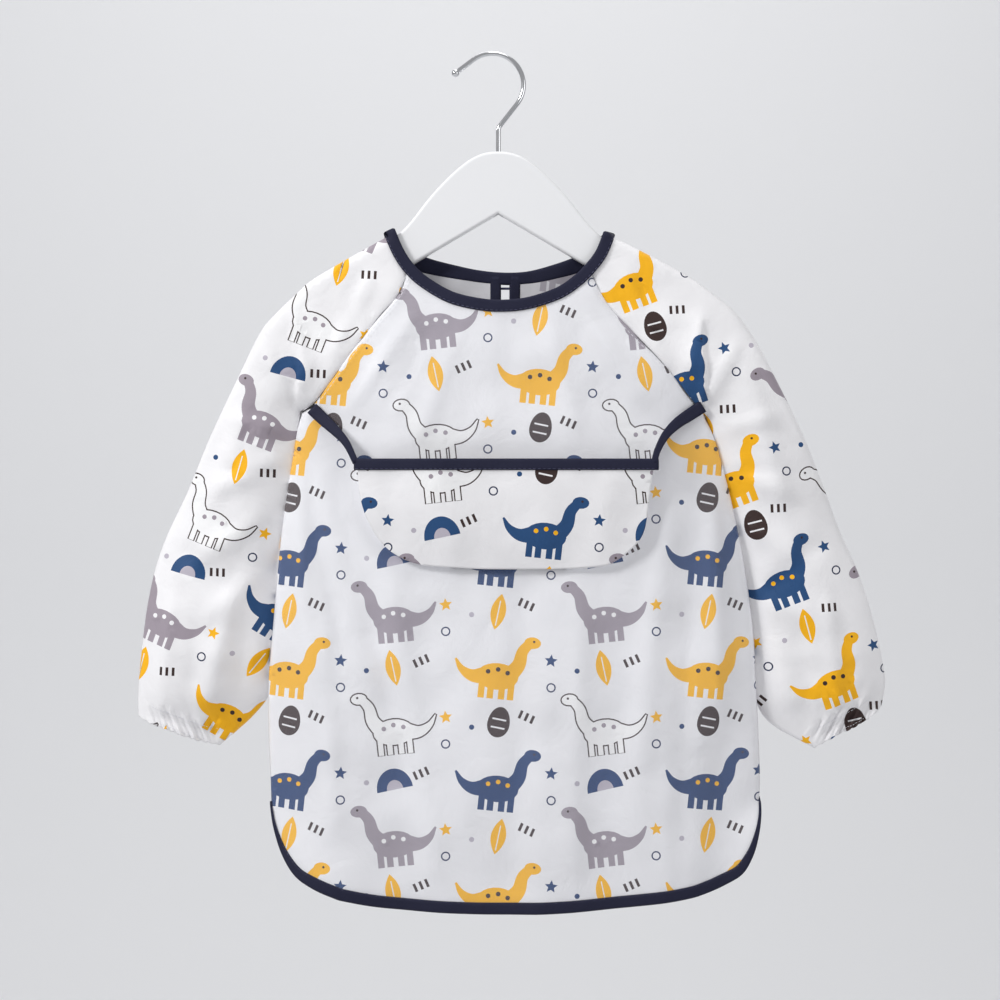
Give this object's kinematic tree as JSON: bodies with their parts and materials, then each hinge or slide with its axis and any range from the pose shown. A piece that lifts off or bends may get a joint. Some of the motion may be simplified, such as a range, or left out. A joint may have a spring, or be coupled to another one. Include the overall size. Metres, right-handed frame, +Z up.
{
  "type": "long-sleeved smock on a hanger",
  "caption": "Child's waterproof long-sleeved bib smock with bound edges, gathered cuffs and a front catch pocket, hanging on a small hanger with a wire hook.",
  "frame": {"origin": "inside crown of the hook, above the stem, where it rests on a rail", "axes": "+Z up along the hook's stem, -Y is the front of the smock, +X its right side as seen from the front"},
  "size_m": [0.5408, 0.0685, 0.622],
  "materials": {
    "chrome_wire": "polished wire",
    "washer_steel": "plain",
    "hanger_white": "gloss",
    "printed_cloth": "thin white waterproof polyester with a printed pattern",
    "clear_film": "frosted clear waterproof film",
    "navy_tape": "navy bias tape, stitched",
    "button_plastic": "gloss",
    "thread": "sewing thread",
    "elastic": "knitted elastic"
  },
  "bodies": {
    "hook": {"hook_wire": "chrome_wire"},
    "smock": {"hook_washer": "washer_steel", "hanger_body": "hanger_white", "front_upper_panel": "printed_cloth", "front_lower_panel": "printed_cloth", "front_upper_film": "clear_film", "front_lower_film": "clear_film", "back_panel": "printed_cloth", "neck_binding": "navy_tape", "slit_binding": "navy_tape", "hem_binding": "navy_tape", "neck_button": "button_plastic", "button_thread": "thread", "neck_loop": "navy_tape", "left_sleeve_cap": "printed_cloth", "right_sleeve_cap": "printed_cloth", "left_pocket_gusset": "printed_cloth", "right_pocket_gusset": "printed_cloth", "left_gusset_binding": "navy_tape", "right_gusset_binding": "navy_tape"},
    "left_sleeve": {"left_sleeve": "printed_cloth", "left_cuff_elastic": "elastic"},
    "right_sleeve": {"right_sleeve": "printed_cloth", "right_cuff_elastic": "elastic"},
    "pocket": {"pocket_front": "printed_cloth", "pocket_binding": "navy_tape"}
  },
  "joints": [
    {"name": "hook_swivel", "type": "hinge", "parent": "hook", "child": "smock", "pos_m": [0, 0, -0.107], "axis": [0, 0, 1], "continuous": true},
    {"name": "left_sleeve_swing", "type": "hinge", "parent": "smock", "child": "left_sleeve", "pos_m": [-0.203, 0, -0.246], "axis": [0, 1, 0], "range_deg": [0, 45]},
    {"name": "right_sleeve_swing", "type": "hinge", "parent": "smock", "child": "right_sleeve", "pos_m": [0.203, 0, -0.246], "axis": [0, -1, 0], "range_deg": [0, 45]},
    {"name": "pocket_tip", "type": "hinge", "parent": "smock", "child": "pocket", "pos_m": [0, -0.0248, -0.37], "axis": [1, 0, 0], "range_deg": [0, 25], "stiffness_Nm_per_rad": 0.03, "springref_deg": -2.86}
  ]
}
